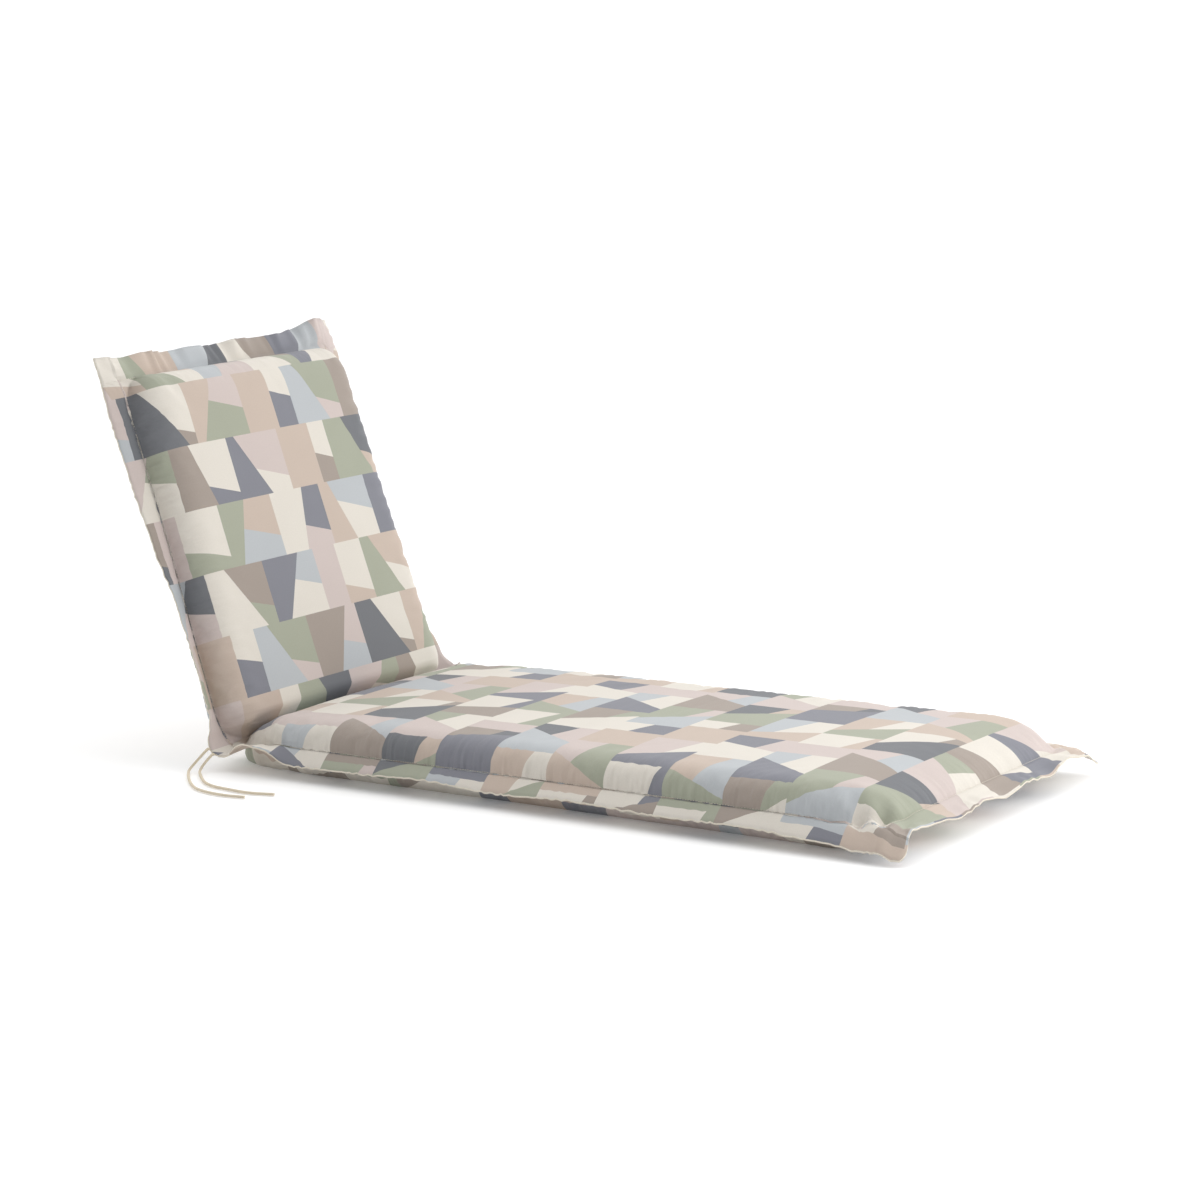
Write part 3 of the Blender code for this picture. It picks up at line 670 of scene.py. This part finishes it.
def stitch_mesh(name, lines):
    """Small closed capsules, one for each stitch: rings round the line, whose radius is a half ellipse."""
    places, normals = [], []
    for line in lines:
        travelled = np.concatenate([[0.0], np.linalg.norm(np.diff(line[:, :3], axis=0), axis=1).cumsum()])
        starts = np.arange(0.0, travelled[-1] - STITCH_PITCH, STITCH_PITCH)
        ends = np.stack([starts, starts + STITCH_LENGTH], axis=-1)
        placed = np.stack([np.interp(ends, travelled, line[:, axis]) for axis in range(6)], axis=-1)
        places.append(placed[..., :3] + THREAD_RADIUS / 2.0 * placed[..., 3:])
        normals.append(placed[:, 0, 3:])
    places, normals = np.concatenate(places), np.concatenate(normals)
    run = places[:, 1] - places[:, 0]
    side = np.cross(normals, run)
    side /= np.linalg.norm(side, axis=-1, keepdims=True)
    upward = np.cross(run, side)
    upward /= np.linalg.norm(upward, axis=-1, keepdims=True)
    share = (1.0 - np.cos(np.linspace(0.0, math.pi, THREAD_RINGS + 2))) / 2.0
    radius = THREAD_RADIUS * np.sqrt(1.0 - (2.0 * share - 1.0) ** 2)[1:-1]
    angle = np.linspace(0.0, 2.0 * math.pi, THREAD_SIDES, endpoint=False)
    ring = np.cos(angle)[:, None] * side[:, None] + np.sin(angle)[:, None] * upward[:, None]
    centre = places[:, :1] + share[None, 1:-1, None] * run[:, None]
    rings = centre[:, :, None] + radius[None, :, None, None] * ring[:, None]
    points = np.concatenate([rings.reshape(len(run), -1, 3), places], axis=1)
    index = np.arange(THREAD_RINGS * THREAD_SIDES).reshape(THREAD_RINGS, THREAD_SIDES)
    around = np.roll(index, -1, axis=1)
    quads = np.stack([index[:-1], around[:-1], around[1:], index[1:]], axis=-1).reshape(-1, 4)
    first = np.full(THREAD_SIDES, THREAD_RINGS * THREAD_SIDES)
    caps = np.concatenate([
        np.stack([first, around[0], index[0]], axis=-1),
        np.stack([first + 1, index[-1], around[-1]], axis=-1),
    ])
    shift = points.shape[1] * np.arange(len(run))[:, None, None]
    faces = (quads + shift).reshape(-1, 4).tolist() + (caps + shift).reshape(-1, 3).tolist()
    mesh = bpy.data.meshes.new(name)
    mesh.from_pydata(points.reshape(-1, 3), [], faces)
    mesh.shade_smooth()
    return mesh


stitch_lines = [seam_line(front_sheet, cover_columns, 1.0), seam_line(rear_sheet, cover_columns, -1.0)]
add_piece("seam_stitches", stitch_mesh("seam_stitches", stitch_lines), "root", "cover_cloth", cover_edge)


# Holding band: a flat strip of the cover's cloth behind the back section, with its ends in the side seams.
# It slips over the head of the lounger's frame.
BAND_CENTRE, BAND_WIDTH, BAND_THICKNESS, BAND_GAP = 0.245, 0.030, 0.0016, 0.0006
BAND_STEPS = 6


def band_sheets(rows, columns, rear):
    """Inner and outer faces of the band: the rear panel between the seams, moved out by the gap and thickness."""
    places = np.linspace(-BAND_CENTRE - BAND_WIDTH / 2.0, -BAND_CENTRE + BAND_WIDTH / 2.0, BAND_STEPS + 1)
    inside = slice(RIM_STEPS, -RIM_STEPS)
    along = rows[:, 0]
    straight = (rows[:, 1] == 0.0) & (rows[:, 2] == 0.0)
    upper = np.searchsorted(along[straight], places)
    panel = rear[straight][:, inside]
    share = ((places - along[straight][upper - 1]) / (along[straight][upper] - along[straight][upper - 1]))[:, None, None]
    strip = panel[upper - 1] * (1.0 - share) + panel[upper] * share
    normal = np.cross(np.gradient(strip, axis=1), np.gradient(strip, axis=0))
    normal /= np.linalg.norm(normal, axis=-1, keepdims=True)
    return strip + normal * BAND_GAP, strip + normal * (BAND_GAP + BAND_THICKNESS)


band_inner, band_outer = band_sheets(cover_rows, cover_columns, rear_sheet)
band_map = cloth_map(band_outer, np.arange(band_outer.shape[1]))
band_mesh = mesh_of_sheets("holding_band", band_inner, band_outer, band_map, band_map)
holding_band = add_piece("holding_band", band_mesh, "root", "band_cloth", cover_cloth, cover_edge)
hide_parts("back_band")


# Ties: two twisted cotton cords sewn into the seam at the near end of the crease. They drop to the floor and
# lie along it with their cut ends free.
TIE_DIAMETER = 0.0045
TIE_ROUTES = {
    "tie_outer": [
        (-0.0014, -0.3012, 0.0355),
        (-0.0022, -0.3056, 0.0346),
        (-0.0160, -0.3160, 0.0170),
        (-0.0215, -0.3265, 0.0058),
        (-0.0120, -0.3400, 0.0027),
        (0.0140, -0.3660, 0.0027),
        (0.0420, -0.3900, 0.0027),
        (0.0700, -0.4080, 0.0027),
        (0.1050, -0.4180, 0.0027),
        (0.1410, -0.4200, 0.0027),
        (0.1760, -0.4150, 0.0027),
    ],
    "tie_inner": [
        (0.0082, -0.3013, 0.0277),
        (0.0076, -0.3056, 0.0270),
        (-0.0030, -0.3135, 0.0130),
        (-0.0020, -0.3240, 0.0045),
        (0.0110, -0.3370, 0.0027),
        (0.0330, -0.3560, 0.0027),
        (0.0560, -0.3730, 0.0027),
        (0.0840, -0.3845, 0.0027),
        (0.1180, -0.3890, 0.0027),
        (0.1620, -0.3910, 0.0027),
        (0.2060, -0.3810, 0.0027),
    ],
}
TWIST_PITCH = 0.011
STRANDS = 3
TIE_SIDES = 18
RING_STEP = 0.0012
CURVE_SAMPLES = 24


def smooth_route(points, step):
    """Evenly spaced points on the Catmull-Rom curve through a route's own points."""
    knots = np.array(points)
    padded = np.vstack([2.0 * knots[0] - knots[1], knots, 2.0 * knots[-1] - knots[-2]])
    a, b, c, d = padded[:-3, None], padded[1:-2, None], padded[2:-1, None], padded[3:, None]
    t = np.linspace(0.0, 1.0, CURVE_SAMPLES, endpoint=False)[None, :, None]
    curve = 2.0 * b + (c - a) * t + (2.0 * a - 5.0 * b + 4.0 * c - d) * t ** 2 + (3.0 * b - a - 3.0 * c + d) * t ** 3
    dense = np.vstack([curve.reshape(-1, 3) / 2.0, knots[-1:]])
    travelled = np.concatenate([[0.0], np.linalg.norm(np.diff(dense, axis=0), axis=1).cumsum()])
    places = np.linspace(0.0, travelled[-1], round(travelled[-1] / step) + 1)
    return np.stack([np.interp(places, travelled, dense[:, axis]) for axis in range(3)], axis=-1), places


def twisted_cord(name, route, places):
    """Closed tube along a route: its radius has a lobe for each strand, and the lobes turn with the length."""
    tangent = np.gradient(route, axis=0)
    tangent /= np.linalg.norm(tangent, axis=1, keepdims=True)
    side = np.cross(tangent, (0.0, 0.0, 1.0))
    side /= np.linalg.norm(side, axis=1, keepdims=True)
    upward = np.cross(side, tangent)
    angle = np.linspace(0.0, 2.0 * math.pi, TIE_SIDES, endpoint=False)[None, :]
    turn = 2.0 * math.pi * places[:, None] / TWIST_PITCH
    lobe = np.abs(np.cos(STRANDS * (angle - turn) / 2.0)) ** 0.7
    radius = TIE_DIAMETER / 2.0 * (0.80 + 0.20 * lobe)
    ring = np.cos(angle)[..., None] * side[:, None] + np.sin(angle)[..., None] * upward[:, None]
    points = route[:, None] + radius[..., None] * ring
    count = len(route)
    index = np.arange(count * TIE_SIDES).reshape(count, TIE_SIDES)
    around = np.roll(index, -1, axis=1)
    faces = np.stack([index[:-1], index[1:], around[1:], around[:-1]], axis=-1).reshape(-1, 4).tolist()
    first, last = count * TIE_SIDES, count * TIE_SIDES + 1
    faces += np.stack([np.full(TIE_SIDES, first), index[0], around[0]], axis=-1).tolist()
    faces += np.stack([np.full(TIE_SIDES, last), around[-1], index[-1]], axis=-1).tolist()
    mesh = bpy.data.meshes.new(name)
    mesh.from_pydata(np.vstack([points.reshape(-1, 3), route[:1], route[-1:]]), [], faces)
    mesh.shade_smooth()
    return mesh


def twisted_cotton(name):
    """Unbleached twisted cotton: warm off-white and very matt. One noise gives both the height of its fine yarns and
    their colour, so the low furrows between them are painted darker: painted shade.
    """
    material, tree, shader = new_material(name)
    place = add_node(tree, "ShaderNodeTexCoord").outputs["Object"]
    yarn = add_node(tree, "ShaderNodeTexNoise", None, {"Vector": place, "Scale": 900.0, "Detail": 2.0}).outputs[0]
    # painted shade: where the yarn noise is low, in the furrows between the yarns, the colour is darker
    shade = add_node(tree, "ShaderNodeMix", {"data_type": "RGBA"}, {0: yarn, 6: linear("#c9bba2"), 7: linear("#ece1cd")})
    tree.links.new(shade.outputs[2], shader.inputs["Base Color"])
    bump = add_node(tree, "ShaderNodeBump", None, {"Strength": 0.5, "Distance": 0.0003, "Height": yarn})
    tree.links.new(bump.outputs[0], shader.inputs["Normal"])
    shader.inputs["Roughness"].default_value = 0.95
    return material


tie_cotton = twisted_cotton("twisted_cotton")
for tie_name, tie_points in TIE_ROUTES.items():
    route, places = smooth_route(tie_points, RING_STEP)
    route = route + (CREASE_X, 0.0, 0.0)
    tie = add_piece(tie_name, twisted_cord(tie_name, route, places), "root", "tie_cord", tie_cotton)
    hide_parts(tie_name.replace("tie", "tie_cord"))


# Studio: a plain near-white floor that runs out of the picture, a white wall behind the cushion that fades
# to a dimmer room on the near side, and one large soft light overhead.
FLOOR_REACH = 60.0
FLOOR_DROP = 0.0004
FLOOR_GLOW = 0.10
WALL_STRENGTH, ROOM_STRENGTH = 1.42, 0.10
KEY_PLACE, KEY_AIM, KEY_SIZE, KEY_POWER = (3.6, 0.9, 1.7), (-0.1, 0.0, 0.1), 2.8, 72.0


def matt_floor(name):
    """Painted studio floor: near-white and matt, with a faint unevenness."""
    material, tree, shader = new_material(name)
    place = add_node(tree, "ShaderNodeTexCoord").outputs["Object"]
    patchy = add_node(tree, "ShaderNodeTexNoise", None, {"Vector": place, "Scale": 2.0}).outputs[0]
    shade = add_node(tree, "ShaderNodeMix", {"data_type": "RGBA"}, {0: patchy, 6: linear("#f6f6f6"), 7: linear("#fafafa")})
    tree.links.new(shade.outputs[2], shader.inputs["Base Color"])
    shader.inputs["Roughness"].default_value = 0.9
    shader.inputs["Emission Color"].default_value = (1.0, 1.0, 1.0, 1.0)
    shader.inputs["Emission Strength"].default_value = FLOOR_GLOW
    return material


def make_studio():
    mesh = bpy.data.meshes.new("studio_floor")
    reach = FLOOR_REACH
    corners = [(-reach, -reach), (reach, -reach), (reach, reach), (-reach, reach)]
    mesh.from_pydata([(x, y, -FLOOR_DROP) for x, y in corners], [], [(0, 1, 2, 3)])
    floor = bpy.data.objects.new("studio_floor", mesh)
    mesh.materials.append(matt_floor("matt_studio_floor"))
    bpy.context.scene.collection.objects.link(floor)
    world = bpy.data.worlds.new("studio_surround")
    world.use_nodes = True
    tree = world.node_tree
    surround = tree.nodes["Background"]
    surround.inputs["Color"].default_value = (1.0, 1.0, 1.0, 1.0)
    direction = add_node(tree, "ShaderNodeTexCoord").outputs["Generated"]
    bright_side = -0.75 * view_axes()[2] + (0.0, 0.0, 0.75)
    away = add_node(tree, "ShaderNodeVectorMath", {"operation": "DOT_PRODUCT"}, {0: direction, 1: bright_side})
    limits = {"From Min": -0.35, "From Max": 0.60, "To Min": ROOM_STRENGTH, "To Max": WALL_STRENGTH}
    settings = {"interpolation_type": "SMOOTHSTEP"}
    strength = add_node(tree, "ShaderNodeMapRange", settings, {"Value": away.outputs["Value"], **limits})
    tree.links.new(strength.outputs[0], surround.inputs["Strength"])
    bpy.context.scene.world = world
    bpy.context.scene.view_settings.view_transform = "Standard"
    key = bpy.data.lights.new("soft_key", "AREA")
    key.size = KEY_SIZE
    key.energy = KEY_POWER
    lamp = bpy.data.objects.new("soft_key", key)
    lamp.location = KEY_PLACE
    lamp.rotation_euler = (Vector(KEY_AIM) - lamp.location).to_track_quat("-Z", "Y").to_euler()
    bpy.context.scene.collection.objects.link(lamp)


make_studio()
